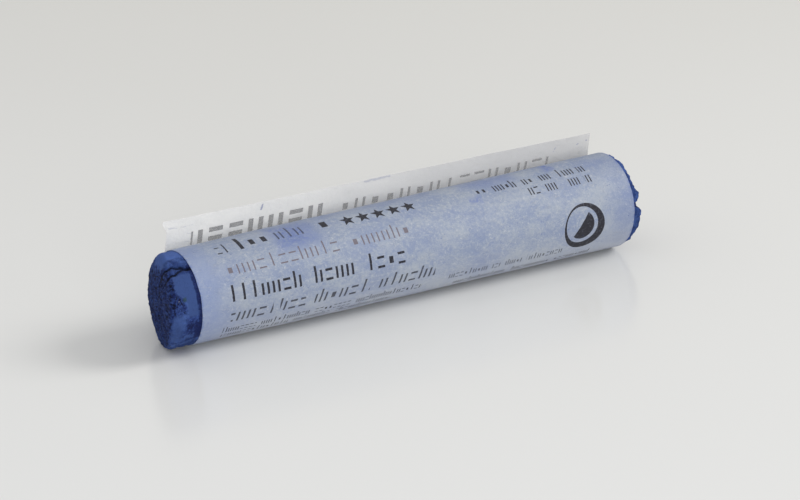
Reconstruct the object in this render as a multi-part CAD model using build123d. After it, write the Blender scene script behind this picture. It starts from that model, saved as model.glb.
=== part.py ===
from build123d import *

import os
from math import cos, radians, sin, sqrt

# A round soft pastel stick, lying on its side in a wrapper of thin translucent paper whose
# outer edge has come unstuck. +X runs along the stick to its broken end, +Y to the back,
# where the loose edge stands up, and +Z up. The origin is on the surface that the part lies
# on, under the middle of the wrapper. Sizes are in millimetres and angles in degrees.

# stick: extruded and hand-cut, so slightly thicker at one end; worn where it draws
stick_radius_worn = 5.5
stick_radius_broken = 5.8
worn_out_front = 4.1  # how far the worn face stands out of the wrapper at the front
worn_out_back = 1.6  # and at the back, where more has been rubbed away
worn_lean = 2.0  # it is also cut back this much towards the bottom
worn_rim = 0.7  # rounding of the worn face's edge
broken_out = 0.8  # how far the ridge of the break stands out of the wrapper at the front
broken_slope = 4.0  # the break's two faces fall away above and below the ridge
broken_turn = 3.0  # and the ridge falls away towards the back

# wrapper: one sheet, wound once round the stick and lapped over itself at the back
wrapper_width = 60.0  # along the stick
paper = 0.06  # thickness of the sheet
lap_gap = 0.01  # between the two layers of the lap
slack = 0.03  # between the stick and the lap's inner layer
seat_gap = 0.01  # between the stick and the paper that it lies on
rest_width = 2.0  # the soft sheet lies flat on the table over this width
lap_angle = 50.0  # how far the inner edge runs on below the root of the flap
step_angle = 45.0  # the inner layer starts to sink under the outer one this far above it

# flap: the sheet's outer edge, whose glue let go, so that it stands up behind the stick
root_angle = 22.0  # it leaves the tube this far above the middle of the back
flap_length_worn = 6.2  # from there to its free edge, where the stick is thinner
flap_length_broken = 5.6  # and where it is thicker and takes more of the sheet
flap_bend = 25.0  # radius of its backward bend

half_wrapper = wrapper_width / 2
worn_x = -half_wrapper - max(worn_out_front, worn_out_back)
broken_x = half_wrapper + broken_out


def stick_radius(x):
    share = (x - worn_x) / (broken_x - worn_x)
    return stick_radius_worn + (stick_radius_broken - stick_radius_worn) * share


def stick_axis_z(x):
    return paper + seat_gap + stick_radius(x)


def across(x, z=0.0):
    """A plane across the stick, whose own x and y run along +Y and +Z."""
    return Plane(origin=(x, 0, z), x_dir=(0, 1, 0), z_dir=(1, 0, 0))


def wrapper_section(x, flap_length):
    """The wound sheet, cut across the stick at x."""
    tucked_in = stick_radius(x) + slack  # the tucked-in layer's two faces
    tucked_out = tucked_in + paper
    inner = tucked_out + lap_gap  # the tube's two faces
    outer = inner + paper
    half_rest = rest_width / 2
    centre_z = sqrt(outer**2 - half_rest**2)
    half_rest_inner = sqrt(inner**2 - (centre_z - paper) ** 2)

    # angles round the tube, from the middle of the back upwards
    root = root_angle
    step = root + step_angle
    half_step = root + step_angle / 2
    tuck = root - lap_angle
    half_lap = root - lap_angle / 2

    def at(r, angle):
        return (r * cos(radians(angle)), centre_z + r * sin(radians(angle)))

    def arc(start, r, middle_angle, end):
        return ThreePointArc(start, at(r, middle_angle), end)

    def flap_at(r, length):
        """A point on the flap, r from the middle of its bend, which lies behind it."""
        bend_y, bend_z = at(outer + flap_bend, root)
        turn = radians(root + 180) - length / flap_bend
        return (bend_y + r * cos(turn), bend_z + r * sin(turn))

    def flap_arc(r, start, end):
        return ThreePointArc(flap_at(r, start), flap_at(r, flap_length / 2), flap_at(r, end))

    flap_face = flap_bend + paper  # the flap's front, on the stick's side
    outline = [
        # outside: from the free edge down the back, under the stick, up the front and over
        flap_arc(flap_bend, flap_length, 0),
        arc(at(outer, root), outer, -40, (half_rest, 0)),
        Line((half_rest, 0), (-half_rest, 0)),
        arc((-half_rest, 0), outer, 180, at(outer, step)),
        arc(at(outer, step), (outer + tucked_out) / 2, half_step, at(tucked_out, root)),
        arc(at(tucked_out, root), tucked_out, half_lap, at(tucked_out, tuck)),
        Line(at(tucked_out, tuck), at(tucked_in, tuck)),
        # inside: back the same way
        arc(at(tucked_in, tuck), tucked_in, half_lap, at(tucked_in, root)),
        arc(at(tucked_in, root), (inner + tucked_in) / 2, half_step, at(inner, step)),
        arc(at(inner, step), inner, 180, (-half_rest_inner, paper)),
        Line((-half_rest_inner, paper), (half_rest_inner, paper)),
        arc((half_rest_inner, paper), inner, -40, at(inner, root)),
        flap_arc(flap_face, 0, flap_length),
        Line(flap_at(flap_face, flap_length), flap_at(flap_bend, flap_length)),
    ]
    return across(x) * make_face(outline)


def paper_wrapper():
    worn_edge = wrapper_section(-half_wrapper, flap_length_worn)
    broken_edge = wrapper_section(half_wrapper, flap_length_broken)
    return loft([worn_edge, broken_edge], ruled=True)


def pastel_stick():
    uncut_x = worn_x - stick_radius_worn  # with length to spare at the worn end
    ends = [across(x, stick_axis_z(x)) * Circle(stick_radius(x)) for x in (uncut_x, broken_x)]
    bar = loft(ends, ruled=True)

    def without(solid, point, normal):
        """The solid without what lies beyond a plane."""
        return split(solid, bisect_by=Plane(origin=point, z_dir=normal), keep=Keep.BOTTOM)

    r = stick_radius_worn
    front = (-half_wrapper - worn_out_front, -r, stick_axis_z(worn_x))
    cut_back = worn_out_front - worn_out_back
    bar = without(bar, front, (-2 * r, cut_back, -2 * r * sin(radians(worn_lean))))
    worn_face = bar.faces().sort_by(Axis.X)[0]
    bar = fillet(worn_face.edges(), worn_rim)

    ridge = (broken_x, -stick_radius_broken, stick_axis_z(broken_x))
    slope = sin(radians(broken_slope))
    turn = sin(radians(broken_turn))
    for fall in (slope, -slope):
        bar = without(bar, ridge, (1, turn, fall))
    return bar


nodes = {"paper_wrapper": paper_wrapper(), "pastel_stick": pastel_stick()}
os.makedirs("parts", exist_ok=True)
for name, solid in nodes.items():
    solid.label = name
    export_step(solid, f"parts/{name}.step")
    print(name, solid.is_valid, f"{solid.volume:.2f} mm3", solid.bounding_box())
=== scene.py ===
# A soft pastel stick in its paper wrapper, lying on a pale table.
# The dictionaries hold what one would change, in millimetres and degrees; the camera, the table
# and the lamps are in metres.
from math import atan2, cos, degrees, pi, radians, sin, sqrt

import bpy
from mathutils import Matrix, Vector, noise


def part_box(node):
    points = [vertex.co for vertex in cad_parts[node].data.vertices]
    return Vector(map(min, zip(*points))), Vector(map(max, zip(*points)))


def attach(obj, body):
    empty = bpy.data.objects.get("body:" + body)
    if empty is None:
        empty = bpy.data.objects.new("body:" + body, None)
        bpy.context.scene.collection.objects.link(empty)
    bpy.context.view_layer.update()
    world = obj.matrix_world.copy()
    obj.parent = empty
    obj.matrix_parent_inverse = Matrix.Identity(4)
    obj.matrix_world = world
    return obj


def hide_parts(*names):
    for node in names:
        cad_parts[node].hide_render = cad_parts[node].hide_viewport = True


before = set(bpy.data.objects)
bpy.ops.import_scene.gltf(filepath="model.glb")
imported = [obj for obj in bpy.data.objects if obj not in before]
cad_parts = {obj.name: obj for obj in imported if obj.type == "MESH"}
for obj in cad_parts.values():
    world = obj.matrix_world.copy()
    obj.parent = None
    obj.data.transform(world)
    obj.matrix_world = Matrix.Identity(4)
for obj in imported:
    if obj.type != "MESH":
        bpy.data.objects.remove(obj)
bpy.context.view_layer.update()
mm = 0.001
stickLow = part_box("pastel_stick")[0]
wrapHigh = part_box("paper_wrapper")[1]
print("frame loaded:", sorted(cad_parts))


# small helpers for meshes


def deselectAll():
    for other in bpy.context.selected_objects:
        other.select_set(False)


def startPiece(name):
    piece = bpy.context.object
    piece.name = name
    piece.data.name = name
    return piece


# select the faces that wanted(face) accepts, from edit mode, and stay there.
def selectFaces(piece, wanted):
    bpy.ops.object.mode_set(mode="OBJECT")
    for vertex in piece.data.vertices:
        vertex.select = False
    for edge in piece.data.edges:
        edge.select = False
    for face in piece.data.polygons:
        face.select = wanted(face)
    bpy.ops.object.mode_set(mode="EDIT")
    bpy.ops.mesh.select_mode(type="FACE")


def applyAll(piece):
    bpy.context.view_layer.objects.active = piece
    for modifier in list(piece.modifiers):
        bpy.ops.object.modifier_apply(modifier=modifier.name)


# shade smooth, but keep the edges that turn by more than this.
def smoothFaces(piece, keptAngle):
    deselectAll()
    piece.select_set(True)
    bpy.context.view_layer.objects.active = piece
    bpy.ops.object.shade_smooth_by_angle(angle=radians(keptAngle))


def smoothStep(low, high, value):
    share = min(1.0, max(0.0, (value - low) / (high - low)))
    return share * share * (3 - 2 * share)


# small helpers for shader nodes


# link a socket to another, or set it to a plain value.
def feed(socket, value):
    if isinstance(value, bpy.types.NodeSocket):
        socket.id_data.links.new(value, socket)
    else:
        socket.default_value = value


def calc(tree, operation, first, second=0.0, third=0.0):
    node = tree.nodes.new("ShaderNodeMath")
    node.operation = operation
    for socket, value in zip(node.inputs, (first, second, third)):
        feed(socket, value)
    return node.outputs[0]


def vectorCalc(tree, operation, first, second=(0, 0, 0)):
    node = tree.nodes.new("ShaderNodeVectorMath")
    node.operation = operation
    feed(node.inputs[0], first)
    if operation == "SCALE":
        feed(node.inputs["Scale"], second)
    else:
        feed(node.inputs[1], second)
    return node.outputs["Value" if operation in ("LENGTH", "DOT_PRODUCT") else "Vector"]


def times(tree, first, second):
    return calc(tree, "MULTIPLY", first, second)


# first times second, plus third.
def timesPlus(tree, first, second, third):
    return calc(tree, "MULTIPLY_ADD", first, second, third)


def combine(tree, x=0.0, y=0.0, z=0.0):
    node = tree.nodes.new("ShaderNodeCombineXYZ")
    for socket, value in zip(node.inputs, (x, y, z)):
        feed(socket, value)
    return node.outputs[0]


def separate(tree, vector):
    node = tree.nodes.new("ShaderNodeSeparateXYZ")
    feed(node.inputs[0], vector)
    return node.outputs[0], node.outputs[1], node.outputs[2]


# goes smoothly from low to high as value goes from start to end.
def fade(tree, value, start, end, low=0.0, high=1.0):
    node = tree.nodes.new("ShaderNodeMapRange")
    node.interpolation_type = "SMOOTHSTEP"
    for socket, given in zip(node.inputs, (value, start, end, low, high)):
        feed(socket, given)
    return node.outputs[0]


def mixColour(tree, share, under, over):
    node = tree.nodes.new("ShaderNodeMix")
    node.data_type = "RGBA"
    feed(node.inputs["Factor"], share)
    feed(node.inputs[6], under)
    feed(node.inputs[7], over)
    return node.outputs[2]


def noiseValue(tree, vector, scale, detail=2.0, rough=0.5):
    node = tree.nodes.new("ShaderNodeTexNoise")
    feed(node.inputs["Vector"], vector)
    feed(node.inputs["Scale"], scale)
    feed(node.inputs["Detail"], detail)
    feed(node.inputs["Roughness"], rough)
    return node.outputs["Fac"]


# the vector, pushed about by soft noise.
def noiseShift(tree, vector, scale, amount):
    node = tree.nodes.new("ShaderNodeTexNoise")
    feed(node.inputs["Vector"], vector)
    feed(node.inputs["Scale"], scale)
    node.inputs["Detail"].default_value = 2.0
    centred = vectorCalc(tree, "SUBTRACT", node.outputs["Color"], (0.5, 0.5, 0.5))
    return vectorCalc(tree, "ADD", vector, vectorCalc(tree, "SCALE", centred, amount))


def cellValue(tree, vector, scale, feature="F1"):
    node = tree.nodes.new("ShaderNodeTexVoronoi")
    node.feature = feature
    feed(node.inputs["Vector"], vector)
    feed(node.inputs["Scale"], scale)
    return node.outputs["Distance"]


# a screen colour, 0 to 255, as the linear colour that a socket takes.
def colour(red, green, blue):
    def linear(part):
        part = part / 255
        return part / 12.92 if part <= 0.04045 else ((part + 0.055) / 1.055) ** 2.4
    return (linear(red), linear(green), linear(blue), 1.0)


def bump(tree, height, distance):
    node = tree.nodes.new("ShaderNodeBump")
    feed(node.inputs["Height"], height)
    node.inputs["Distance"].default_value = distance
    node.inputs["Strength"].default_value = 1.0
    return node.outputs[0]


def newMaterial(name):
    material = bpy.data.materials.new(name)
    material.use_nodes = True
    tree = material.node_tree
    return material, tree, tree.nodes["Principled BSDF"]


# a shader group, with sockets named in two dictionaries of their types.
def newGroup(name, inputs, outputs):
    tree = bpy.data.node_groups.new(name, "ShaderNodeTree")
    for socketName, kind in inputs.items():
        tree.interface.new_socket(socketName, in_out="INPUT", socket_type=kind)
    for socketName, kind in outputs.items():
        tree.interface.new_socket(socketName, in_out="OUTPUT", socket_type=kind)
    return tree, tree.nodes.new("NodeGroupInput").outputs, tree.nodes.new("NodeGroupOutput").inputs


def placeGroup(tree, name, values):
    node = tree.nodes.new("ShaderNodeGroup")
    node.node_tree = bpy.data.node_groups[name]
    for socketName, value in values.items():
        feed(node.inputs[socketName], value)
    return node


def useGroup(tree, name, values):
    return placeGroup(tree, name, values).outputs[0]


number = "NodeSocketFloat"
vectorKind = "NodeSocketVector"


# camera, table and light

cameraPlace = {
    "location": (-0.17374, -0.28332, 0.13718),
    "tilt": 68.358,
    "turn": -31.478,
    "lens": 133.96,
    "sensor": 36,
    "nearest": 0.01,
}
studio = {
    "tableSize": 6.0,
    "tableNear": (228, 229, 229),
    # painted shade: the table's colour darkens from tableNear to tableFarShade along tableTowards
    "tableFarShade": (210, 209, 204),
    "tableTowards": (0.52, 0.85),  # the table gets darker along this direction
    "tableFade": (-0.08, 0.26),
    "tableClouds": (9.0, 0.05),  # scale and amount
    "tableRoughness": 0.19,
    "skyStrength": 0.64,
    "skyColour": (255, 255, 255),
    "keyPlace": (0.80, -0.32, 0.62),
    "keySize": 0.42,
    "keyPower": 6.0,
    "keyColour": (255, 253, 249),
    "fillPlace": (-0.30, -0.90, 0.12),
    "fillSize": 0.60,
    "fillPower": 5.0,
}

bpy.ops.object.camera_add(
    location=cameraPlace["location"],
    rotation=(radians(cameraPlace["tilt"]), 0, radians(cameraPlace["turn"])),
)
camera = bpy.context.object
camera.data.lens = cameraPlace["lens"]
camera.data.sensor_width = cameraPlace["sensor"]
camera.data.clip_start = cameraPlace["nearest"]
bpy.context.scene.camera = camera
bpy.context.scene.view_settings.view_transform = "Standard"


def makeTable():
    deselectAll()
    bpy.ops.mesh.primitive_plane_add(size=studio["tableSize"], location=(0, 0, 0))
    table = startPiece("table")
    material, tree, shader = newMaterial("whiteTable")
    place = tree.nodes.new("ShaderNodeTexCoord").outputs["Object"]
    cloudScale, cloudAmount = studio["tableClouds"]
    clouds = noiseValue(tree, place, cloudScale)
    x, y = separate(tree, place)[:2]
    towardsX, towardsY = studio["tableTowards"]
    distance = timesPlus(tree, y, towardsY, times(tree, x, towardsX))
    distance = timesPlus(tree, clouds, cloudAmount, distance)
    # painted shade: the table is painted darker towards its far side
    away = fade(tree, distance, *studio["tableFade"])
    base = mixColour(tree, away, colour(*studio["tableNear"]), colour(*studio["tableFarShade"]))
    feed(shader.inputs["Base Color"], base)
    shader.inputs["Roughness"].default_value = studio["tableRoughness"]
    table.data.materials.append(material)


def makeLight():
    world = bpy.data.worlds.new("studioSky")
    world.use_nodes = True
    sky = world.node_tree.nodes["Background"]
    sky.inputs["Color"].default_value = colour(*studio["skyColour"])
    sky.inputs["Strength"].default_value = studio["skyStrength"]
    bpy.context.scene.world = world
    for name in ("key", "fill"):
        place = Vector(studio[name + "Place"])
        bpy.ops.object.light_add(type="AREA", location=place)
        lamp = bpy.context.object
        lamp.name = name + "Light"
        lamp.rotation_euler = (-place).to_track_quat("-Z", "Y").to_euler()
        lamp.data.size = studio[name + "Size"]
        lamp.data.energy = studio[name + "Power"]
        lamp.data.color = colour(*studio["keyColour"])[:3]
        lamp.visible_camera = False
        lamp.visible_glossy = name == "key"


makeTable()
makeLight()
print("camera, table and light made")


# groups that several materials share


# a soft-edged rectangle, for worn patches, smudges and blocks of print.
def makeSoftPatch():
    tree, given, out = newGroup(
        "softPatch",
        {"Vector": vectorKind, "Centre": vectorKind, "Half": vectorKind, "Soft": number},
        {"Mask": number},
    )
    away = vectorCalc(tree, "SUBTRACT", given["Vector"], given["Centre"])
    beyond = vectorCalc(tree, "SUBTRACT", vectorCalc(tree, "ABSOLUTE", away), given["Half"])
    beyondX, beyondY = separate(tree, beyond)[:2]
    farthest = calc(tree, "MAXIMUM", beyondX, beyondY)
    inside = times(tree, given["Soft"], -1.0)
    feed(out["Mask"], fade(tree, farthest, given["Soft"], inside))


strokeCore = 0.3  # the share of a stroke's width that is at full strength


# a straight stroke between two points, for cracks and for marks on the flap.
def makeStrokeLine():
    tree, given, out = newGroup(
        "strokeLine",
        {"Vector": vectorKind, "Start": vectorKind, "End": vectorKind, "Width": number},
        {"Mask": number},
    )
    along = vectorCalc(tree, "SUBTRACT", given["End"], given["Start"])
    away = vectorCalc(tree, "SUBTRACT", given["Vector"], given["Start"])
    share = calc(
        tree,
        "DIVIDE",
        vectorCalc(tree, "DOT_PRODUCT", away, along),
        vectorCalc(tree, "DOT_PRODUCT", along, along),
    )
    share = calc(tree, "MINIMUM", calc(tree, "MAXIMUM", share, 0.0), 1.0)
    near = vectorCalc(tree, "SUBTRACT", away, vectorCalc(tree, "SCALE", along, share))
    distance = vectorCalc(tree, "LENGTH", near)
    core = times(tree, given["Width"], strokeCore)
    feed(out["Mask"], fade(tree, distance, given["Width"], core))


# where pastel dust has settled: soft clouds, finer mottling and single specks.
def makeBlueDust():
    tree, given, out = newGroup(
        "blueDust",
        {"Vector": vectorKind},
        {"Clouds": number, "Specks": number},
    )
    wide = noiseValue(tree, given["Vector"], 0.16, 3.0, 0.6)
    fine = noiseValue(tree, given["Vector"], 1.1, 4.0, 0.65)
    mixed = timesPlus(tree, wide, 0.6, times(tree, fine, 0.4))
    feed(out["Clouds"], fade(tree, mixed, 0.40, 0.66))
    dots = fade(tree, cellValue(tree, given["Vector"], 1.5), 0.12, 0.05)
    kept = fade(tree, noiseValue(tree, given["Vector"], 0.35), 0.50, 0.62)
    feed(out["Specks"], times(tree, dots, kept))


makeSoftPatch()
makeStrokeLine()
makeBlueDust()


# the mask of a soft-edged rectangle, from its sides.
def patch(tree, vector, left, right, low, high, soft):
    values = {
        "Vector": vector,
        "Centre": ((left + right) / 2, (low + high) / 2, 0),
        "Half": ((right - left) / 2, (high - low) / 2, 0),
        "Soft": soft,
    }
    return useGroup(tree, "softPatch", values)


def union(tree, masks):
    total = masks[0]
    for mask in masks[1:]:
        total = calc(tree, "MAXIMUM", total, mask)
    return total


# the pastel stick

stick = {
    "radiusWorn": 5.5,
    "radiusBroken": 5.8,
    "wornFall": 2.5,  # the worn face is this much further back at the rear than at the front
    "wornLean": 2.0,
    "rim": 0.7,
    "breakSlope": 1.5,
    "breakTurn": 3.0,
    "wornX": -34.1,
    "brokenX": 30.8,
    "uncut": (-40.0, 34.0),  # the bar's ends before it is cut
    "breakBack": 0.05,
    "columns": 240,
    "ringStep": 0.16,
    "capStep": 0.17,
    "upperRub": 0.75,  # how much rounder the worn face is rubbed at its upper edge
    "keptAngle": 50,
}
halfWrap = wrapHigh.x / mm


def stickRadius(x):
    share = (x - stick["wornX"]) / (stick["brokenX"] - stick["wornX"])
    return stick["radiusWorn"] + (stick["radiusBroken"] - stick["radiusWorn"]) * share


def stickAxis(x):
    return stickLow.z / mm + stickRadius(x)


# the plane of the worn face, at y.
def wornFaceX(y):
    share = (y + stick["radiusWorn"]) / (2 * stick["radiusWorn"])
    return stick["wornX"] + stick["wornFall"] * share


def cutAndFill(point, normal):
    bpy.ops.mesh.select_all(action="SELECT")
    bpy.ops.mesh.bisect(
        plane_co=[part * mm for part in point],
        plane_no=Vector(normal).normalized(),
        use_fill=True,
        clear_outer=True,
    )


# rings of faces inside the selected cap, closed in its middle.
def ringCaps(steps, step):
    for turn in range(steps):
        bpy.ops.mesh.inset(thickness=step * mm, depth=0, use_even_offset=True)
    bpy.ops.mesh.poke()


def makeStick():
    deselectAll()
    left, right = stick["uncut"]
    bpy.ops.mesh.primitive_cone_add(
        vertices=stick["columns"],
        radius1=stickRadius(left) * mm,
        radius2=stickRadius(right) * mm,
        depth=(right - left) * mm,
        location=((left + right) / 2 * mm, 0, stickAxis(left) * mm),
        rotation=(0, pi / 2, 0),
    )
    piece = startPiece("pastelStick")
    bpy.ops.object.transform_apply(location=True, rotation=True, scale=True)

    # the bar's underside is level, so its thicker end goes up a little
    selectFaces(piece, lambda face: face.normal.x > 0.9)
    lift = (stickAxis(right) - stickAxis(left)) * mm
    bpy.ops.transform.translate(value=(0, 0, lift))

    # the worn face, with its rubbed rim
    radius = stick["radiusWorn"]
    front = (stick["wornX"], -radius, stickAxis(stick["wornX"]))
    lean = -2 * radius * sin(radians(stick["wornLean"]))
    cutAndFill(front, (-2 * radius, stick["wornFall"], lean))
    selectFaces(piece, lambda face: face.normal.x < -0.9)
    bpy.ops.mesh.region_to_loop()
    bpy.ops.mesh.bevel(offset=stick["rim"] * mm, segments=7, profile=0.5, affect="EDGES")
    selectFaces(piece, lambda face: face.normal.x < -0.9 and len(face.vertices) > 100)
    ringCaps(int((radius - stick["rim"]) / stick["capStep"]) - 1, stick["capStep"])

    # the break, turned a little away from the front
    ridge = (stick["brokenX"], -stick["radiusBroken"], stickAxis(stick["brokenX"]))
    cutAndFill(ridge, (1, sin(radians(stick["breakTurn"])), 0))
    selectFaces(piece, lambda face: face.normal.x > 0.9 and len(face.vertices) > 100)
    ringCaps(int(radius / stick["capStep"]) - 2, stick["capStep"])

    # rings round both bare ends, fine enough to crumble
    ringsAt = []
    x = stick["wornX"] + 0.3
    while x < -halfWrap + 0.6:
        ringsAt.append(x)
        x += stick["ringStep"]
    ringsAt += [-20.0, -10.0, 0.0, 10.0, 20.0]
    x = halfWrap - 0.5
    while x < stick["brokenX"] - 0.1:
        ringsAt.append(x)
        x += stick["ringStep"]
    for x in ringsAt:
        selectFaces(piece, lambda face: abs(face.normal.x) < 0.35)
        bpy.ops.mesh.bisect(plane_co=(x * mm, 0, 0), plane_no=(1, 0, 0))
    bpy.ops.mesh.select_all(action="SELECT")
    bpy.ops.mesh.remove_doubles(threshold=0.000004)
    bpy.ops.mesh.normals_make_consistent(inside=False)
    bpy.ops.object.mode_set(mode="OBJECT")
    return piece


# what crumbled: the noise, its size and depth, and the level of it that stays in place
crumbles = {
    "grain": {"kind": "CLOUDS", "size": 0.40, "depth": 0.28, "level": 0.5},
    "lumps": {"kind": "CLOUDS", "size": 1.5, "depth": 0.34, "level": 0.55},
    "breakLumps": {"kind": "VORONOI", "size": 1.7, "depth": 1.1, "level": 0.42},
    "sideDents": {"kind": "CLOUDS", "size": 0.7, "depth": 0.24, "level": 0.6},
}
# chips at the rim of the break: angle from the back over the top, how far out of the face they
# stand, or into it, and how far they reach round their middle
chips = [
    {"angle": 157.0, "out": 0.34, "reach": 0.85},
    {"angle": 169.5, "out": -0.80, "reach": 0.50},
    {"angle": 180.0, "out": 0.28, "reach": 0.95},
    {"angle": 196.0, "out": 0.22, "reach": 2.0},
    {"angle": 108.0, "out": 0.14, "reach": 2.4},
]
# cracks in the bare side: points along the stick and degrees round it, width and depth
cracksAt = [
    {
        "points": [
            (-33.0, 111),
            (-32.5, 115),
            (-32.1, 113.5),
            (-31.6, 117.5),
            (-31.1, 117),
            (-30.7, 121),
            (-30.1, 122),
        ],
        "width": 0.26,
        "depth": 0.30,
    },
    {
        "points": [(-33.1, 129), (-32.7, 126), (-32.2, 126.5), (-31.6, 122.5), (-31.0, 121)],
        "width": 0.17,
        "depth": 0.16,
    },
]
degree = 0.0985  # millimetres of the bar's surface to one degree round it


# a point of the bar's side, unrolled: along the stick and round it, in millimetres.
def onChart(x, y, z):
    turned = degrees(atan2(z - stickAxis(x), y)) % 360
    return Vector((x, turned * degree))


# how far a point of the chart lies from a stroke.
def fromStroke(point, start, end):
    along = end - start
    share = min(1.0, max(0.0, (point - start).dot(along) / along.dot(along)))
    return (point - start - along * share).length


def openCracks(piece):
    for vertex in piece.data.vertices:
        x, y, z = (part / mm for part in vertex.co)
        radius = sqrt(y**2 + (z - stickAxis(x)) ** 2)
        if x > -halfWrap - 0.05 or radius < 4.6:  # only the bare side cracks
            continue
        point = onChart(x, y, z)
        for crack in cracksAt:
            corners = [Vector((cornerX, angle * degree)) for cornerX, angle in crack["points"]]
            gap = min(fromStroke(point, start, end) for start, end in zip(corners, corners[1:]))
            near = 1 - smoothStep(0.3 * crack["width"], 1.2 * crack["width"], gap)
            sink = crack["depth"] * near
            sink *= smoothStep(-halfWrap, -halfWrap - 0.3, x)
            vertex.co.y -= sink * y / radius * mm
            vertex.co.z -= sink * (z - stickAxis(x)) / radius * mm


def crumbleStick(piece):
    weights = {name: piece.vertex_groups.new(name=name) for name in crumbles}
    for vertex in piece.data.vertices:
        x, y, z = (part / mm for part in vertex.co)
        radius = sqrt(y**2 + (z - stickAxis(x)) ** 2)
        onFace = 1 - smoothStep(0.15, 0.9, x - wornFaceX(y))
        bareLeft = 1 - smoothStep(-halfWrap - 0.7, -halfWrap - 0.15, x)
        bareRight = smoothStep(halfWrap + 0.1, halfWrap + 0.5, x)
        core = 1 - smoothStep(3.8, 5.5, radius)
        weights["grain"].add([vertex.index], max(onFace, bareRight), "REPLACE")
        weights["lumps"].add([vertex.index], onFace * (0.35 + 0.65 * core), "REPLACE")
        weights["breakLumps"].add([vertex.index], bareRight * (0.25 + 0.75 * core), "REPLACE")
        turned = onChart(x, y, z).y / degree
        rubbed = smoothStep(125, 129, turned) * (1 - smoothStep(183, 190, turned))
        rubbed *= smoothStep(-33.2, -32.6, x)
        rubbedTop = smoothStep(60, 68, turned) * (1 - smoothStep(98, 104, turned))
        side = bareLeft * (1 - onFace) * (1 - 0.85 * max(rubbed, rubbedTop))
        weights["sideDents"].add([vertex.index], side, "REPLACE")
    for name, look in crumbles.items():
        texture = bpy.data.textures.new(name, look["kind"])
        texture.noise_scale = look["size"] * mm
        if look["kind"] == "CLOUDS":
            texture.noise_depth = 3
        modifier = piece.modifiers.new(name, "DISPLACE")
        modifier.texture = texture
        modifier.texture_coords = "LOCAL"
        modifier.vertex_group = name
        modifier.strength = look["depth"] * mm
        modifier.mid_level = look["level"]
    applyAll(piece)


# the break's face falls away above and below a low ridge, and is chipped at its rim.
def shapeBreak(piece):
    fall = sin(radians(stick["breakSlope"]))
    for vertex in piece.data.vertices:
        x = vertex.co.x / mm
        share = smoothStep(halfWrap - 0.3, halfWrap + 0.45, x)
        vertex.co.x -= fall * share * abs(vertex.co.z - stickAxis(x) * mm)
        vertex.co.x -= stick["breakBack"] * share * mm
    for chip in chips:
        angle = radians(chip["angle"])
        for vertex in piece.data.vertices:
            x, y, z = (part / mm for part in vertex.co)
            if x < halfWrap + 0.1:
                continue
            rimY = stick["radiusBroken"] * cos(angle)
            rimZ = stickAxis(stick["brokenX"]) + stick["radiusBroken"] * sin(angle)
            gap = sqrt((y - rimY) ** 2 + (z - rimZ) ** 2)
            pull = (1 - smoothStep(0.15, chip["reach"], gap)) * smoothStep(30.05, 30.4, x)
            vertex.co.x += chip["out"] * pull * mm


# the worn face's upper edge is rubbed rounder than the rest.
def rubUpperRim(piece):
    for vertex in piece.data.vertices:
        x, y, z = (part / mm for part in vertex.co)
        if x > -30.6:
            continue
        height = z - stickAxis(x)
        radius = sqrt(y**2 + height**2)
        upper = smoothStep(-1.5, 5.5, height) * smoothStep(1.5, 5.8, radius)
        near = 1 - smoothStep(0.0, 2.2, x - wornFaceX(y))
        vertex.co.x += stick["upperRub"] * upper * near * mm


stickPiece = makeStick()
rubUpperRim(stickPiece)
print("stick cut:", len(stickPiece.data.polygons), "faces")
crumbleStick(stickPiece)
openCracks(stickPiece)
shapeBreak(stickPiece)
smoothFaces(stickPiece, stick["keptAngle"])
print("stick crumbled")

chalk = {
    "faceDark": (18, 30, 80),
    "faceLight": (50, 73, 134),
    "smooth": (66, 92, 154),
    "panel": (52, 73, 124),
    "rough": (36, 56, 110),
    # painted shade: near black for the shade in pits and cracks
    "hollowShade": (5, 8, 30),
    "speck": (196, 202, 214),
    "greenSpot": (44, 66, 72),
    "roughness": 0.92,
    "shine": 0.25,
    "relief": 0.00028,  # metres
}


# parts of the bare side: left and right along the stick, low and high in degrees, softness
chalkZones = {
    "carried": (-40.0, -29.0, 108, 176, 1.1),  # here the face's grain comes over the rim
    "panel": (-40.0, -30.45, 127, 187, 0.09),  # rubbed smooth
    "spread": (-40.0, -29.0, 130, 176, 0.45),
    "topSmooth": (-33.4, -29.5, 62, 101, 0.25),
    "strip": (-34.2, -32.4, 178, 216, 0.22),
    "darkPatch": (-32.0, -30.2, 181, 206, 0.25),
    # a band beside the paper's edge: partly unrubbed grain, partly painted shade of the paper's edge
    "paperEdgeGrainAndShade": (-30.45, -29.0, 116, 192, 0.10),
    "paperEdgeGrainAndShadeLow": (-30.85, -29.0, 190, 216, 0.15),
    "roughZone": (-33.6, -30.3, 111, 127, 0.15),
    "greenSpot": (-32.2, -31.75, 156, 161, 0.12),
}
panelLean = (142, 166, -33.0, -31.75)  # its left edge, between two angles: it narrows downwards


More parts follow.
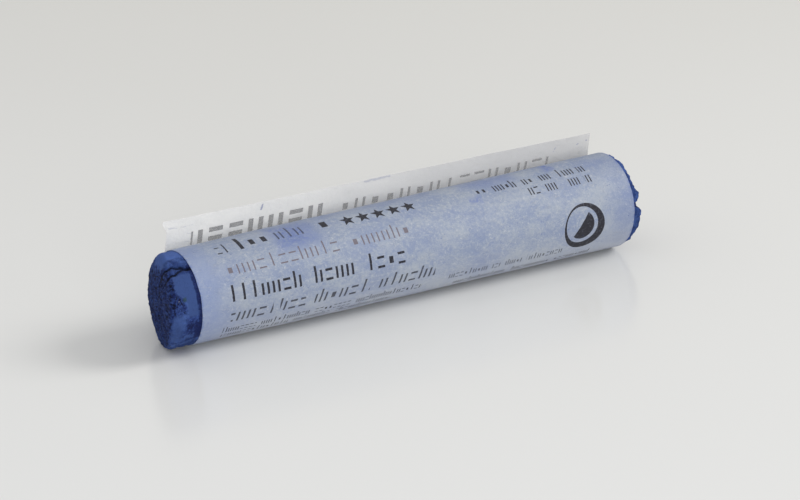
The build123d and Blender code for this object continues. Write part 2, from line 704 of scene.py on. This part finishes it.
def makeChalk():
    material, tree, shader = newMaterial("pastelChalk")
    metres = tree.nodes.new("ShaderNodeTexCoord").outputs["Object"]
    place = vectorCalc(tree, "SCALE", metres, 1 / mm)
    x, y, z = separate(tree, place)
    taper = (stick["radiusBroken"] - stick["radiusWorn"]) / (stick["brokenX"] - stick["wornX"])
    height = calc(tree, "SUBTRACT", z, timesPlus(tree, x, taper, stickAxis(0)))
    angle = times(tree, calc(tree, "ARCTAN2", height, y), 180 / pi)
    angle = calc(tree, "FLOORED_MODULO", angle, 360.0)
    chart = combine(tree, x, times(tree, angle, degree), 0.0)
    rough = noiseShift(tree, chart, 1.6, 0.45)
    soft = noiseShift(tree, chart, 1.1, 0.22)

    def zone(name, vector=rough):
        left, right, low, high, softness = chalkZones[name]
        return patch(tree, vector, left, right, low * degree, high * degree, softness)

    def paint(share, under, name):
        return mixColour(tree, share, under, colour(*chalk[name]))

    # how far behind the worn face a point lies
    fall = stick["wornFall"] / (2 * stick["radiusWorn"])
    behind = calc(tree, "SUBTRACT", x, timesPlus(tree, y, fall, wornFaceX(0)))
    wander = noiseValue(tree, place, 2.2, 3.0, 0.6)
    behindRough = timesPlus(tree, wander, -0.8, calc(tree, "ADD", behind, 0.4))
    reach = timesPlus(tree, zone("carried", chart), 0.7, 0.25)
    onFace = fade(tree, calc(tree, "SUBTRACT", behindRough, reach), 0.16, -0.12)

    # the break, whose rim is as pale as the side
    fromAxis = vectorCalc(tree, "LENGTH", combine(tree, 0.0, y, height))
    onBreak = times(tree, fade(tree, x, 29.4, 29.9), fade(tree, fromAxis, 5.72, 5.52))

    # the rubbed panel, and the grain that runs up to it
    leaning = fade(tree, angle, *panelLean)
    softX = separate(tree, soft)[0]
    panel = fade(tree, calc(tree, "SUBTRACT", softX, leaning), -0.12, 0.16)
    panel = times(tree, panel, zone("panel", soft))
    roughX = separate(tree, rough)[0]
    spread = fade(tree, calc(tree, "SUBTRACT", roughX, leaning), 0.15, -0.35)
    onFace = calc(tree, "MAXIMUM", onFace, times(tree, spread, zone("spread")))
    topSmooth = zone("topSmooth")
    strip = times(tree, zone("strip"), 0.7)
    paperEdgeGrainAndShade = union(tree, [zone("paperEdgeGrainAndShade"), zone("paperEdgeGrainAndShadeLow")])

    strokes = []
    crackPlace = noiseShift(tree, chart, 4.0, 0.12)
    for crack in cracksAt:
        for start, end in zip(crack["points"], crack["points"][1:]):
            values = {
                "Vector": crackPlace,
                "Start": (start[0], start[1] * degree, 0),
                "End": (end[0], end[1] * degree, 0),
                "Width": crack["width"],
            }
            strokes.append(useGroup(tree, "strokeLine", values))
    cracks = union(tree, strokes)

    grainPlace = vectorCalc(tree, "MULTIPLY", place, (1.0, 0.55, 1.0))
    grain = noiseValue(tree, grainPlace, 3.4, 5.0, 0.72)
    coarse = noiseValue(tree, place, 1.0, 4.0, 0.65)
    pitNoise = noiseValue(tree, noiseShift(tree, grainPlace, 2.5, 0.3), 3.0, 3.0, 0.75)
    pits = fade(tree, pitNoise, 0.49, 0.38)
    gritty = timesPlus(tree, grain, 0.65, times(tree, coarse, 0.35))

    faceColour = paint(fade(tree, gritty, 0.42, 0.60), colour(*chalk["faceDark"]), "faceLight")
    side = paint(fade(tree, coarse, 0.35, 0.65), colour(*chalk["rough"]), "smooth")
    side = paint(topSmooth, side, "smooth")
    side = paint(strip, side, "panel")
    side = paint(panel, side, "panel")
    side = paint(times(tree, zone("roughZone"), 0.6), side, "rough")
    side = mixColour(tree, zone("darkPatch"), side, faceColour)
    # partly unrubbed grain, partly painted shade: the band beside the paper's edge is painted in the
    # face's dark colour
    side = paint(times(tree, paperEdgeGrainAndShade, 0.85), side, "faceDark")
    darkGrain = union(tree, [onFace, onBreak])
    whole = mixColour(tree, darkGrain, side, faceColour)
    # painted shade: pits and cracks are painted near black, the shade in their hollows
    whole = paint(times(tree, pits, timesPlus(tree, darkGrain, 0.85, 0.06)), whole, "hollowShade")
    whole = paint(times(tree, cracks, 0.85), whole, "hollowShade")
    whole = paint(times(tree, zone("greenSpot"), 0.8), whole, "greenSpot")
    specks = fade(tree, cellValue(tree, place, 1.15), 0.065, 0.035)
    few = fade(tree, noiseValue(tree, place, 0.7, 1.0), 0.56, 0.62)
    whole = paint(times(tree, times(tree, specks, few), 0.75), whole, "speck")
    feed(shader.inputs["Base Color"], whole)
    shader.inputs["Roughness"].default_value = chalk["roughness"]
    shader.inputs["Specular IOR Level"].default_value = chalk["shine"]

    # rough where it has crumbled, nearly smooth where it was rubbed
    rubbed = union(tree, [panel, topSmooth, strip])
    rubbed = times(tree, rubbed, calc(tree, "SUBTRACT", 1.0, darkGrain))
    share = timesPlus(tree, rubbed, -0.78, 1.0)
    relief = timesPlus(tree, pits, times(tree, share, -0.25), times(tree, gritty, share))
    relief = timesPlus(tree, cracks, -0.9, relief)
    relief = timesPlus(tree, panel, 0.12, relief)
    feed(shader.inputs["Normal"], bump(tree, relief, chalk["relief"]))
    return material


stickPiece.data.materials.clear()
stickPiece.data.materials.append(makeChalk())
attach(stickPiece, "root")
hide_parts("pastel_stick")
print("stick finished:", len(stickPiece.data.polygons), "faces")


# the paper wrapper

wrapper = {
    "paper": 0.06,
    "lapGap": 0.01,
    "slack": 0.03,
    "restWidth": 2.0,
    "tuckAngle": -28.0,  # where the sheet's inner edge lies
    "rootAngle": 22.0,  # where the flap leaves the tube
    "stepAngle": 67.0,  # the inner layer sinks between here and the root
    "flapWorn": 6.2,
    "flapBroken": 5.6,
    "flapBend": 25.0,
    "perDegree": 0.1015,  # sheet to one degree of the tube
    "across": 150,
    "around": 200,
    "hug": 0.08,  # the paper clings to the worn end
    "hugFade": (-29.0, -17.0),  # along the stick
    "hugAngles": (45, 75, 300, 330),
    "wave": 0.035,
    "waveSize": 7.0,
    "flapWave": 0.10,
    "drawnIn": 0.50,  # how far the flap's worn side draws in below its corner
    "drawnInBroken": 0.25,
    "dogEar": 0.18,
    "edgeWander": 0.05,
    "keptAngle": 40,
}
woundLength = (360 + wrapper["rootAngle"] - wrapper["tuckAngle"]) * wrapper["perDegree"]
sheetLength = woundLength + wrapper["flapWorn"]
rootOnSheet = (360 + wrapper["rootAngle"]) * wrapper["perDegree"]
tuckOnSheet = wrapper["tuckAngle"] * wrapper["perDegree"]


# where a point of the flat sheet lies: the sheet's printed face, wound round the stick.
def sheetPoint(x, along):
    tucked = stickRadius(x) + wrapper["slack"] + wrapper["paper"]
    outer = tucked + wrapper["lapGap"] + wrapper["paper"]
    centreZ = sqrt(outer**2 - (wrapper["restWidth"] / 2) ** 2)
    root = radians(wrapper["rootAngle"])
    turned = along / wrapper["perDegree"]
    flat = min(1.0, max(0.0, (along - rootOnSheet) / wrapper["flapWorn"]))

    # the soft sheet's own waviness, the same for both layers of the lap
    angle = radians(min(turned, 360 + wrapper["rootAngle"]))
    spot = Vector((x / wrapper["waveSize"], 1.3 * cos(angle), 1.3 * sin(angle)))
    wave = wrapper["wave"] * (noise.noise(spot) + 0.5 * noise.noise(spot * 3.1))
    begin, full, less, finish = wrapper["hugAngles"]
    hugging = 1 - smoothStep(*wrapper["hugFade"], x)
    hugging = hugging * smoothStep(begin, full, turned) * (1 - smoothStep(less, finish, turned))
    wave = max(-0.03, wave) * (1 - 0.8 * hugging)
    hug = wrapper["hug"] * hugging

    if along <= rootOnSheet:
        sink = 1 - smoothStep(wrapper["rootAngle"], wrapper["stepAngle"], turned)
        radius = outer - sink * (outer - tucked) + wave - hug
        y = radius * cos(angle)
        z = centreZ + radius * sin(angle)
        return y, max(z, 0.0)
    radius = outer + wave
    share = (x + halfWrap) / (2 * halfWrap)
    length = flat * (wrapper["flapWorn"] + (wrapper["flapBroken"] - wrapper["flapWorn"]) * share)
    bend = wrapper["flapBend"]
    bendY = (radius + bend) * cos(root)
    bendZ = centreZ + (radius + bend) * sin(root)
    turn = root + pi - length / bend
    ripple = wrapper["flapWave"] * flat * noise.noise(Vector((x / 6.0, 5.0, length / 5.0)))
    return bendY + (bend + ripple) * cos(turn), bendZ + (bend + ripple) * sin(turn)


def makeWrapper():
    deselectAll()
    bpy.ops.mesh.primitive_grid_add(
        x_subdivisions=wrapper["across"],
        y_subdivisions=wrapper["around"],
        size=1.0,
        calc_uvs=True,
    )
    piece = startPiece("paperWrapper")
    piece.data.uv_layers[0].name = "sheet"
    for vertex in piece.data.vertices:
        x = vertex.co.x * 2 * halfWrap
        along = tuckOnSheet + (vertex.co.y + 0.5) * sheetLength
        up = (along - rootOnSheet) / wrapper["flapWorn"]
        y, z = sheetPoint(x, along)

        # the flap's sides draw in below its corners, and no edge is quite straight
        nearLeft = 1 - smoothStep(-halfWrap, -halfWrap + 5, x)
        nearRight = smoothStep(halfWrap - 3, halfWrap, x)
        if up > 0:
            below = smoothStep(0.0, 0.25, up) * (1 - smoothStep(0.78, 0.95, up))
            x += wrapper["drawnIn"] * nearLeft * below
            below = smoothStep(0.0, 0.3, up) * (1 - smoothStep(0.3, 0.9, up))
            x += wrapper["drawnInBroken"] * nearRight * below
            corner = smoothStep(0.72, 1.0, up) * (1 - smoothStep(-halfWrap, -halfWrap + 3.2, x))
            y += wrapper["dogEar"] * nearLeft * corner
        x += wrapper["edgeWander"] * nearLeft * noise.noise(Vector((0.0, along / 1.4, 2.0)))
        x += wrapper["edgeWander"] * nearRight * noise.noise(Vector((0.0, along / 1.4, 7.0)))
        vertex.co = (x * mm, y * mm, z * mm)

    bpy.ops.object.mode_set(mode="OBJECT")
    piece.data.update()
    # the front of the tube has to face the front
    front = [face for face in piece.data.polygons if face.center.y < -5.5 * mm]
    if sum(face.normal.y for face in front) > 0:
        bpy.ops.object.mode_set(mode="EDIT")
        bpy.ops.mesh.select_all(action="SELECT")
        bpy.ops.mesh.flip_normals()
        bpy.ops.object.mode_set(mode="OBJECT")
    thick = piece.modifiers.new("thickness", "SOLIDIFY")
    thick.thickness = wrapper["paper"] * mm
    thick.offset = -1
    thick.use_even_offset = True
    thick.material_offset = 2
    thick.material_offset_rim = 0
    return piece


# the marks that stand in for letters: places across a mark's cell, and shares of its height
printMarks = {
    "leftAt": -0.26,
    "rightAt": 0.24,
    "tallOver": 0.72,
    "taller": 0.42,
    "dashHalf": 0.34,
    "block": (0.22, 0.80),
    "blockHalf": 0.20,
    "chances": (0.52, 0.60, 0.76, 0.84, 0.08),  # pair below, dashes and block at, stem over
}


# a row of plain little stems and dashes, standing in for small print.
def makePrintRow():
    tree, given, out = newGroup(
        "printRow",
        {
            "Sheet": vectorKind,
            "Foot": number,
            "Height": number,
            "Pitch": number,
            "Stroke": number,
            "Slant": number,
            "Seed": number,
        },
        {"Mask": number},
    )
    x, y = separate(tree, given["Sheet"])[:2]
    height = given["Height"]
    above = calc(tree, "SUBTRACT", given["Foot"], y)
    leaned = calc(tree, "SUBTRACT", x, times(tree, above, given["Slant"]))
    cells = calc(tree, "DIVIDE", leaned, given["Pitch"])
    middle = calc(tree, "SUBTRACT", calc(tree, "FRACT", cells), 0.5)
    fromMiddle = calc(tree, "ABSOLUTE", middle)
    dice = tree.nodes.new("ShaderNodeTexWhiteNoise")
    dice.noise_dimensions = "2D"
    feed(dice.inputs["Vector"], combine(tree, calc(tree, "FLOOR", cells), given["Seed"], 0.0))
    chance, tallChance = separate(tree, dice.outputs["Color"])[:2]

    def between(low, high):
        over = calc(tree, "GREATER_THAN", above, low)
        return times(tree, over, calc(tree, "LESS_THAN", above, high))

    # most are a pair of stems, whose left one may be taller
    half = times(tree, given["Stroke"], 0.5)
    low = between(0.0, height)
    tall = calc(tree, "GREATER_THAN", tallChance, printMarks["tallOver"])
    leftTop = times(tree, height, timesPlus(tree, tall, printMarks["taller"], 1.0))
    leftStem = calc(tree, "COMPARE", middle, printMarks["leftAt"], half)
    leftStem = times(tree, leftStem, between(0.0, leftTop))
    rightStem = times(tree, calc(tree, "COMPARE", middle, printMarks["rightAt"], half), low)
    pair = calc(tree, "ADD", leftStem, rightStem)
    # some are a single taller stem
    stemTop = times(tree, height, 1 + printMarks["taller"])
    stem = times(tree, calc(tree, "LESS_THAN", fromMiddle, half), between(0.0, stemTop))
    # or two dashes, one above the other
    thick = times(tree, given["Stroke"], given["Pitch"])
    gap = between(thick, calc(tree, "SUBTRACT", height, thick))
    dashes = times(tree, calc(tree, "LESS_THAN", fromMiddle, printMarks["dashHalf"]), low)
    dashes = times(tree, dashes, calc(tree, "SUBTRACT", 1.0, gap))
    # and some are a short block
    blockLow, blockHigh = (times(tree, height, share) for share in printMarks["block"])
    block = calc(tree, "LESS_THAN", fromMiddle, printMarks["blockHalf"])
    block = times(tree, block, between(blockLow, blockHigh))
    pairBelow, dashAt, blockAt, stemOver, spread = printMarks["chances"]
    chosen = times(tree, pair, calc(tree, "LESS_THAN", chance, pairBelow))
    chosen = timesPlus(tree, stem, calc(tree, "GREATER_THAN", chance, stemOver), chosen)
    chosen = timesPlus(tree, dashes, calc(tree, "COMPARE", chance, dashAt, spread), chosen)
    chosen = timesPlus(tree, block, calc(tree, "COMPARE", chance, blockAt, spread), chosen)
    feed(out["Mask"], chosen)


# plain five-pointed stars in a row.
def makeStarRow():
    tree, given, out = newGroup(
        "starRow",
        {
            "Sheet": vectorKind,
            "Centre": vectorKind,
            "Pitch": number,
            "Radius": number,
            "Reach": number,
        },
        {"Mask": number},
    )
    away = vectorCalc(tree, "SUBTRACT", given["Sheet"], given["Centre"])
    x, y = separate(tree, away)[:2]
    within = calc(tree, "COMPARE", x, 0.0, given["Reach"])
    cells = calc(tree, "ADD", calc(tree, "DIVIDE", x, given["Pitch"]), 0.5)
    fromMiddle = calc(tree, "SUBTRACT", calc(tree, "FRACT", cells), 0.5)
    localX = times(tree, fromMiddle, given["Pitch"])
    radius = vectorCalc(tree, "LENGTH", combine(tree, localX, y))
    # a star is ten equal triangles: fold its turn onto one of them
    angle = calc(tree, "ARCTAN2", localX, times(tree, y, -1.0))
    folded = calc(tree, "ADD", calc(tree, "DIVIDE", angle, 2 * pi / 5), 5.5)
    folded = calc(tree, "ABSOLUTE", calc(tree, "SUBTRACT", calc(tree, "FRACT", folded), 0.5))
    folded = times(tree, folded, 2 * pi / 5)
    point = calc(tree, "SINE", calc(tree, "SUBTRACT", pi / 5, folded))
    notch = times(tree, calc(tree, "SINE", folded), 1 / stars["notch"])
    edge = calc(tree, "DIVIDE", calc(tree, "ADD", point, notch), sin(pi / 5))
    inside = calc(tree, "LESS_THAN", times(tree, radius, edge), given["Radius"])
    feed(out["Mask"], times(tree, inside, within))


# a plain ring, thicker on one side, round a half disc.
def makeRingMark():
    tree, given, out = newGroup(
        "ringMark",
        {"Sheet": vectorKind, "Centre": vectorKind, "Radius": number},
        {"Mask": number},
    )
    away = vectorCalc(tree, "SUBTRACT", given["Sheet"], given["Centre"])
    x, y = separate(tree, away)[:2]
    shifted = vectorCalc(tree, "LENGTH", vectorCalc(tree, "ADD", away, ringMark["shift"]))
    outer = calc(tree, "LESS_THAN", vectorCalc(tree, "LENGTH", away), given["Radius"])
    hole = calc(tree, "LESS_THAN", shifted, times(tree, given["Radius"], ringMark["hole"]))
    disc = calc(tree, "LESS_THAN", shifted, times(tree, given["Radius"], ringMark["disc"]))
    slope, cut = ringMark["discCut"]
    half = calc(tree, "GREATER_THAN", timesPlus(tree, y, slope, x), cut)
    ring = times(tree, outer, calc(tree, "SUBTRACT", 1.0, hole))
    feed(out["Mask"], calc(tree, "MAXIMUM", ring, times(tree, disc, half)))


# rows of print: foot on the sheet, height, pitch and stroke of its marks, and where its words
# begin and end along the stick; some lean, are paler, are warmer, or take other marks
printRows = [
    {"foot": 11.35, "height": 1.30, "pitch": 0.90, "stroke": 0.20, "words": [(-26.2, -24.4)]},
    {"foot": 11.35, "height": 1.78, "pitch": 1.57, "stroke": 0.30, "words": [(-23.55, -18.84)]},
    {
        "foot": 11.15, "height": 1.50, "pitch": 1.30, "stroke": 0.17,
        "grey": 0.75,
        "words": [(-18.2, -14.3)],
    },
    {"foot": 11.30, "height": 1.95, "pitch": 2.10, "stroke": 0.26, "words": [(-12.6, -10.5)]},
    {
        "foot": 14.50, "height": 1.22, "pitch": 1.38, "stroke": 0.13,
        "warm": 1,
        "words": [(-26.2, -11.04), (-9.66, -1.38)],
    },
    {
        "foot": 17.65, "height": 1.42, "pitch": 1.40, "stroke": 0.21,
        "words": [(-26.6, -16.8), (-15.4, -9.8), (-8.4, -2.8)],
    },
    {
        "foot": 20.30, "height": 1.20, "pitch": 1.36, "stroke": 0.19, "slant": 0.28,
        "grey": 0.85,
        "words": [(-26.3, -20.8), (-19.9, -16.5), (-15.3, -7.8), (-6.6, 1.2)],
    },
    {
        "foot": 11.40, "height": 1.05, "pitch": 0.84, "stroke": 0.21,
        "words": [(9.2, 10.9), (11.8, 15.1), (16.0, 17.6), (18.5, 20.2), (21.0, 23.5), (24.1, 25.1)],
    },
    {
        "foot": 13.10, "height": 1.05, "pitch": 0.84, "stroke": 0.21,
        "words": [(15.9, 17.6), (18.5, 20.2), (21.8, 23.5), (24.2, 25.1)],
    },
    {
        "foot": 21.60, "height": 0.72, "pitch": 0.62, "stroke": 0.20,
        "grey": 0.85,
        "words": [(3.4, 9.0), (9.6, 10.9), (11.5, 14.0), (14.6, 19.8)],
    },
    {
        "foot": 22.15, "height": 0.72, "pitch": 0.62, "stroke": 0.20,
        "words": [(-27.0, -22.6), (-22.0, -15.5), (-14.9, -9.9), (-9.2, -0.2)],
    },
    {
        "foot": 23.35, "height": 0.72, "pitch": 0.62, "stroke": 0.20,
        "words": [
            (-27.0, -18.0), (-17.4, -12.2), (-11.6, -4.2), (4.6, 12.0), (12.8, 18.4), (19.0, 24.4),
        ],
    },
    {
        "foot": 42.95, "height": 1.90, "pitch": 2.70, "stroke": 0.24,
        "seed": 31.0,
        "words": [(-26.3, -7.2)],
    },
    {
        "foot": 42.60, "height": 1.72, "pitch": 2.13, "stroke": 0.17,
        "seed": 58.0,
        "words": [(-5.6, 24.3)],
    },
]
stars = {"centre": (-4.2, 10.55, 0), "pitch": 2.1, "radius": 1.0, "reach": 5.2, "notch": 0.42}
ringMark = {
    "centre": (22.6, 18.45, 0),
    "radius": 2.95,
    "hole": 0.78,  # shares of the radius
    "disc": 0.60,
    "shift": (0.36, 0.28, 0.0),  # the hole and the disc lie this far off the centre
    "discCut": (0.8, -0.75),  # slope and place of the line that halves the disc
}


# all the print on the sheet: dark ink and the thin warmer row.
def makeSheetPrint():
    makePrintRow()
    makeStarRow()
    makeRingMark()
    tree, given, out = newGroup("sheetPrint", {"Sheet": vectorKind}, {"Ink": number, "Warm": number})
    x = separate(tree, given["Sheet"])[0]
    dark = []
    warm = 0.0
    for seed, row in enumerate(printRows):
        values = {
            "Sheet": given["Sheet"],
            "Foot": row["foot"],
            "Height": row["height"],
            "Pitch": row["pitch"],
            "Stroke": row["stroke"],
            "Slant": row.get("slant", 0.0),
            "Seed": row.get("seed", seed + 3.0),
        }
        mask = useGroup(tree, "printRow", values)
        words = []
        for start, end in row["words"]:
            words.append(calc(tree, "COMPARE", x, (start + end) / 2, (end - start) / 2))
        mask = times(tree, mask, union(tree, words))
        if row.get("warm"):
            warm = mask
        else:
            dark.append(times(tree, mask, row.get("grey", 1.0)))
    values = {
        "Sheet": given["Sheet"],
        "Centre": stars["centre"],
        "Pitch": stars["pitch"],
        "Radius": stars["radius"],
        "Reach": stars["reach"],
    }
    dark.append(useGroup(tree, "starRow", values))
    values = {"Sheet": given["Sheet"], "Centre": ringMark["centre"], "Radius": ringMark["radius"]}
    dark.append(useGroup(tree, "ringMark", values))
    feed(out["Ink"], union(tree, dark))
    feed(out["Warm"], warm)


makeSheetPrint()

paperLook = {
    "overStick": (153, 161, 174),
    "overStickDusty": (128, 140, 166),
    "overStickPale": (178, 183, 192),
    # painted light: the paper over the stick is paler at the tube's lower front
    "overStickLowPaintedLight": (196, 200, 209),
    "wornEdge": (140, 154, 184),
    "flap": (250, 250, 249),
    "flapGrey": (240, 241, 242),
    # painted shade: the flap greys towards the broken end
    "flapShadedFar": (213, 213, 215),
    "dust": (78, 100, 164),
    "deepDust": (46, 68, 140),
    "ink": (30, 30, 40),
    "warmInk": (104, 98, 108),
    "inside": (196, 202, 214),
    "insideDust": (104, 126, 182),
    "showThrough": (140, 141, 146),
    "roughness": 0.55,
    "shine": 0.4,
    "relief": 0.00012,  # metres
    "flapAlpha": 0.50,  # of each face of the loose flap, which is translucent
}
# smudges of pastel on the printed side: left, right, low, high on the sheet, softness, strength
smudges = [
    (20.2, 21.6, 7.6, 9.9, 0.5, 0.75),
    (8.0, 9.6, 11.7, 12.4, 0.45, 0.85),
    (8.0, 16.0, 7.7, 9.7, 1.2, 0.42),
    (-18.5, -13.5, 8.1, 12.8, 1.5, 0.75),
    (-30.5, -27.6, 8.0, 24.0, 1.5, 0.30),
    (26.5, 30.5, 9.0, 22.0, 1.6, 0.20),
    (20.9, 21.4, 7.6, 8.5, 0.20, 0.9),
    (-12.5, 4.0, 7.6, 8.8, 1.2, 0.28),
]
# marks on the loose flap: start, end, width and strength, all on the sheet
flapMarks = [
    ((-29.6, 44.0), (-28.6, 43.85), 0.13, 0.30),
    ((-28.0, 43.8), (-26.2, 43.9), 0.09, 0.26),
    ((-26.9, 42.9), (-25.7, 42.3), 0.10, 0.22),
    ((-27.2, 41.7), (-26.3, 41.6), 0.09, 0.22),
    ((-17.0, 44.0), (-16.9, 44.6), 0.20, 0.75),
    ((-2.9, 44.8), (0.6, 44.8), 0.22, 0.35),
    ((28.2, 43.7), (28.3, 43.7), 0.16, 0.55),
    ((29.5, 44.0), (29.6, 44.0), 0.16, 0.55),
    ((24.9, 43.9), (24.7, 43.2), 0.09, 0.45),
]


# the piece's own map, in millimetres along the stick and round the sheet.
def sheetPlace(tree):
    uvNode = tree.nodes.new("ShaderNodeUVMap")
    uvNode.uv_map = "sheet"
    mapping = tree.nodes.new("ShaderNodeMapping")
    feed(mapping.inputs["Vector"], uvNode.outputs["UV"])
    mapping.inputs["Scale"].default_value = (2 * halfWrap, sheetLength, 1.0)
    mapping.inputs["Location"].default_value = (-halfWrap, tuckOnSheet, 0.0)
    return mapping.outputs["Vector"]


def makePaper(name, printedSide, loose):
    material, tree, shader = newMaterial(name)
    sheet = sheetPlace(tree)
    x, along = separate(tree, sheet)[:2]

    def paint(share, under, look):
        return mixColour(tree, share, under, colour(*paperLook[look]))

    # the sheet itself: cloudy, with pale fibres
    streaky = vectorCalc(tree, "MULTIPLY", sheet, (0.6, 1.0, 1.0))
    wide = noiseValue(tree, streaky, 0.36, 4.0, 0.6)
    fine = noiseValue(tree, sheet, 2.3, 4.0, 0.7)
    finest = noiseValue(tree, sheet, 6.5, 3.0, 0.7)
    mottle = timesPlus(tree, wide, 0.42, times(tree, fine, 0.36))
    mottle = timesPlus(tree, finest, 0.22, mottle)
    stretched = vectorCalc(tree, "MULTIPLY", noiseShift(tree, sheet, 0.5, 1.5), (0.8, 2.6, 1.0))
    fibres = fade(tree, cellValue(tree, stretched, 1.1, "DISTANCE_TO_EDGE"), 0.045, 0.0)
    fibres = times(tree, fibres, fade(tree, noiseValue(tree, sheet, 0.9), 0.46, 0.62))

    if loose:
        whole = paint(fade(tree, mottle, 0.35, 0.6), colour(*paperLook["flapGrey"]), "flap")
        # painted shade: the flap is painted greyer towards the broken end
        whole = paint(fade(tree, x, -28.0, 22.0), whole, "flapShadedFar")
    elif printedSide:
        cloudy = fade(tree, mottle, 0.405, 0.595)
        whole = paint(cloudy, colour(*paperLook["overStickDusty"]), "overStick")
        whole = paint(fade(tree, fine, 0.57, 0.76), whole, "overStickPale")
        whole = paint(times(tree, fade(tree, finest, 0.60, 0.72), 0.7), whole, "overStickPale")
        # painted light: the paper is painted paler towards the tube's lower front
        whole = paint(times(tree, fade(tree, along, 17.5, 25.0), 0.6), whole, "overStickLowPaintedLight")
        whole = paint(times(tree, fade(tree, x, -25.0, -29.5), 0.55), whole, "wornEdge")
        whole = paint(times(tree, fibres, 0.55), whole, "overStickPale")
    else:
        whole = paint(mottle, colour(*paperLook["insideDust"]), "inside")

    # pastel dust on the paper
    dust = placeGroup(tree, "blueDust", {"Vector": sheet}).outputs
    whole = paint(times(tree, dust["Clouds"], 0.02 if loose else 0.16), whole, "dust")
    if printedSide and not loose:
        shifted = noiseShift(tree, sheet, 0.8, 1.3)
        for left, right, low, high, soft, strength in smudges:
            mask = patch(tree, shifted, left, right, low, high, soft)
            mask = times(tree, mask, fade(tree, fine, 0.30, 0.66))
            whole = paint(times(tree, mask, strength), whole, "dust")
    if loose:
        drawn = noiseShift(tree, sheet, 2.2, 0.35)
        for start, end, width, strength in flapMarks:
            values = {"Vector": drawn, "Start": (*start, 0), "End": (*end, 0), "Width": width}
            mask = useGroup(tree, "strokeLine", values)
            whole = paint(times(tree, mask, strength), whole, "dust")

    # print: dark on its own side, pale where it shows through the flap
    if printedSide or loose:
        worn = fade(tree, noiseValue(tree, sheet, 2.8, 4.0, 0.7), 0.28, 0.50, 0.80, 1.0)
        ink = placeGroup(tree, "sheetPrint", {"Sheet": noiseShift(tree, sheet, 3.0, 0.06)}).outputs
        look = "ink" if printedSide else "showThrough"
        whole = paint(times(tree, ink["Ink"], worn), whole, look)
        if printedSide:
            whole = paint(times(tree, ink["Warm"], worn), whole, "warmInk")
    whole = paint(times(tree, dust["Specks"], 0.2 if loose else 0.8), whole, "deepDust")
    if not loose:
        leftEdge = fade(tree, x, -halfWrap + 0.35, -halfWrap)
        edgeDust = union(tree, [leftEdge, fade(tree, x, halfWrap - 0.5, halfWrap)])
        edgeDust = times(tree, edgeDust, fade(tree, fine, 0.40, 0.60))
        whole = paint(times(tree, edgeDust, 0.6), whole, "dust")

    feed(shader.inputs["Base Color"], whole)
    shader.inputs["Roughness"].default_value = paperLook["roughness"]
    shader.inputs["Specular IOR Level"].default_value = paperLook["shine"]

    # the soft sheet is never quite flat
    relief = calc(tree, "ADD", times(tree, fine, 0.35), times(tree, wide, 1.2))
    relief = timesPlus(tree, fibres, 0.12, relief)
    feed(shader.inputs["Normal"], bump(tree, relief, paperLook["relief"]))
    if loose:
        shader.inputs["Alpha"].default_value = paperLook["flapAlpha"]
    return material


wrapperPiece = makeWrapper()
for name, printedSide, loose in (
    ("printedPaper", True, False),
    ("looseFlapPrinted", True, True),
    ("paperInside", False, False),
    ("looseFlapInside", False, True),
):
    wrapperPiece.data.materials.append(makePaper(name, printedSide, loose))
sheetMap = wrapperPiece.data.uv_layers["sheet"].data
for face in wrapperPiece.data.polygons:
    middle = sum(sheetMap[corner].uv[1] for corner in face.loop_indices) / len(face.vertices)
    standsFree = tuckOnSheet + middle * sheetLength > rootOnSheet + 0.1
    face.material_index = 1 if standsFree else 0
applyAll(wrapperPiece)
smoothFaces(wrapperPiece, wrapper["keptAngle"])
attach(wrapperPiece, "root")
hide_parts("paper_wrapper")
print("wrapper finished:", len(wrapperPiece.data.polygons), "faces")
